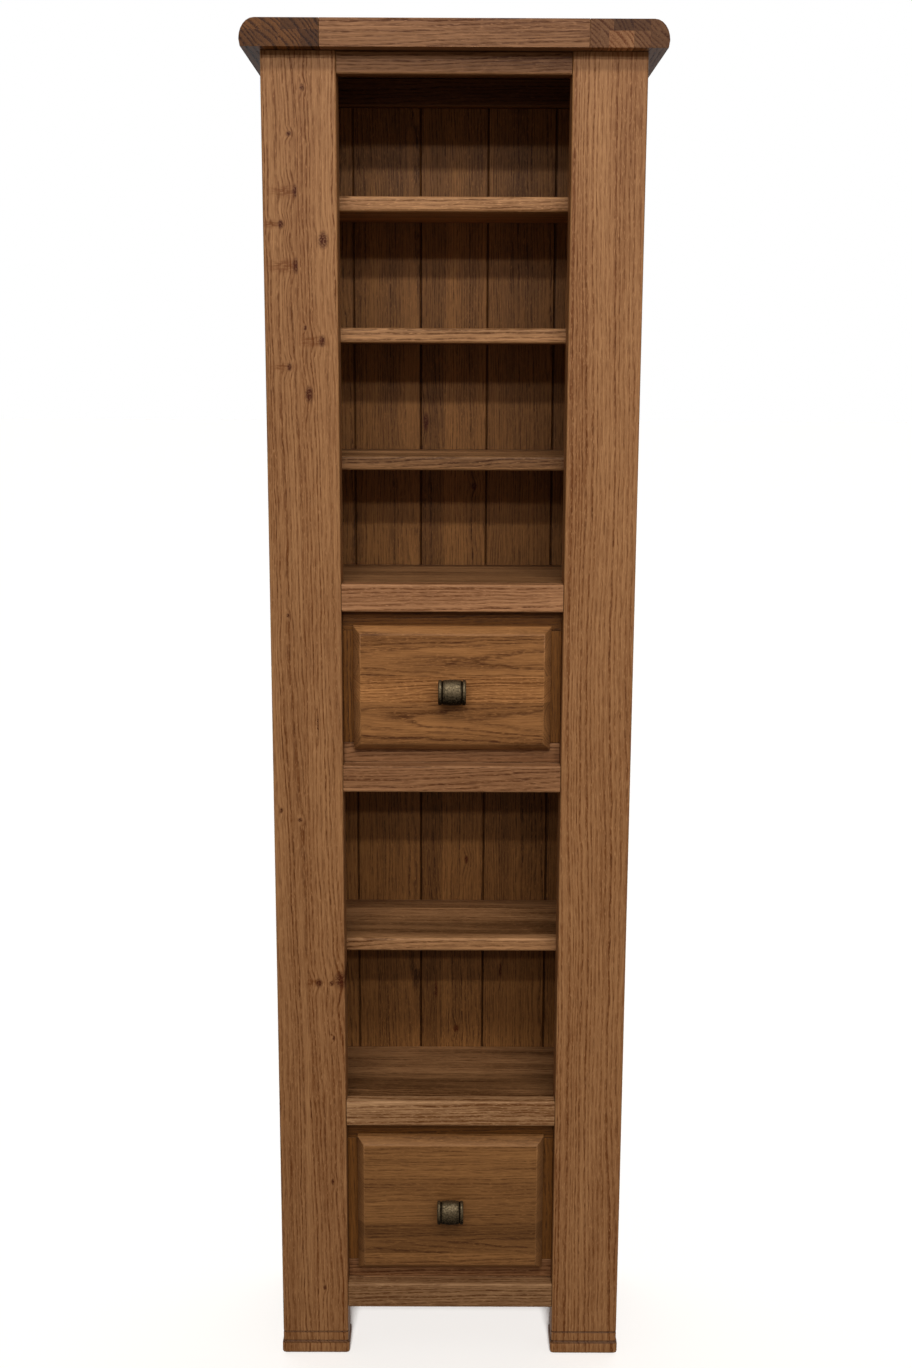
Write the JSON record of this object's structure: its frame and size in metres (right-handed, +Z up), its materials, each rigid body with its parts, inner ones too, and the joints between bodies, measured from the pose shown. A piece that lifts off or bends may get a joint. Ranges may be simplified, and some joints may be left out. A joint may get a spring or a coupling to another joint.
{
  "type": "disc storage rack",
  "caption": "Tall free-standing oak disc rack with short and tall open bays, sliding drawers with metal knobs, a plank back and a thick overhanging top.",
  "frame": {"origin": "on the floor, under the middle of the rack's box, knobs and feet included", "axes": "+Z up; -Y out of the front, the way the drawers slide; +X to the right for someone who faces the front"},
  "size_m": [0.55, 0.2676, 1.9],
  "materials": {
    "oak_frame": "stained oak with a thin wax, satin",
    "oak_shelf": "stained oak with a thin wax, satin",
    "oak_back": "stained oak planks, satin to matt",
    "oak_front": "stained oak staves, waxed",
    "oak_box": "bare planed oak",
    "pewter": "aged pewter coloured casting, pitted and rubbed bright on the rims",
    "steel": "zinc plated steel"
  },
  "bodies": {
    "carcass": {"top_panel": "oak_frame", "top_cleat_left": "oak_frame", "top_cleat_right": "oak_frame", "front_post_left": "oak_frame", "front_post_right": "oak_frame", "rear_post_left": "oak_frame", "rear_post_right": "oak_frame", "bottom_rail": "oak_frame", "lower_middle_rail": "oak_frame", "upper_middle_rail": "oak_frame", "upper_rail": "oak_frame", "top_rail": "oak_frame", "back_top_rail": "oak_frame", "back_bottom_rail": "oak_frame", "side_panel_left": "oak_frame", "side_panel_right": "oak_frame", "back_board_1": "oak_back", "back_board_2": "oak_back", "back_board_3": "oak_back", "back_board_4": "oak_back", "back_board_5": "oak_back", "shelf_1": "oak_shelf", "shelf_2": "oak_shelf", "shelf_3": "oak_shelf", "tall_bay_shelf": "oak_shelf", "short_bay_floor": "oak_shelf", "upper_drawer_board": "oak_shelf", "tall_bay_floor": "oak_shelf", "lower_drawer_board": "oak_shelf", "upper_drawer_border_bottom": "oak_frame", "upper_drawer_border_top": "oak_frame", "upper_drawer_border_left": "oak_frame", "upper_drawer_border_right": "oak_frame", "upper_drawer_runner_left": "oak_box", "upper_drawer_runner_right": "oak_box", "lower_drawer_border_bottom": "oak_frame", "lower_drawer_border_top": "oak_frame", "lower_drawer_border_left": "oak_frame", "lower_drawer_border_right": "oak_frame", "lower_drawer_runner_left": "oak_box", "lower_drawer_runner_right": "oak_box"},
    "upper_drawer": {"upper_drawer_front": "oak_front", "upper_drawer_box_front": "oak_box", "upper_drawer_side_left": "oak_box", "upper_drawer_side_right": "oak_box", "upper_drawer_back": "oak_box", "upper_drawer_bottom": "oak_box", "upper_drawer_knob": "pewter", "upper_drawer_knob_bolt": "steel"},
    "lower_drawer": {"lower_drawer_front": "oak_front", "lower_drawer_box_front": "oak_box", "lower_drawer_side_left": "oak_box", "lower_drawer_side_right": "oak_box", "lower_drawer_back": "oak_box", "lower_drawer_bottom": "oak_box", "lower_drawer_knob": "pewter", "lower_drawer_knob_bolt": "steel"}
  },
  "joints": [
    {"name": "upper_drawer_slide", "type": "slide", "parent": "carcass", "child": "upper_drawer", "axis": [0, -1, 0], "range_m": [0, 0.13]},
    {"name": "lower_drawer_slide", "type": "slide", "parent": "carcass", "child": "lower_drawer", "axis": [0, -1, 0], "range_m": [0, 0.13]}
  ]
}
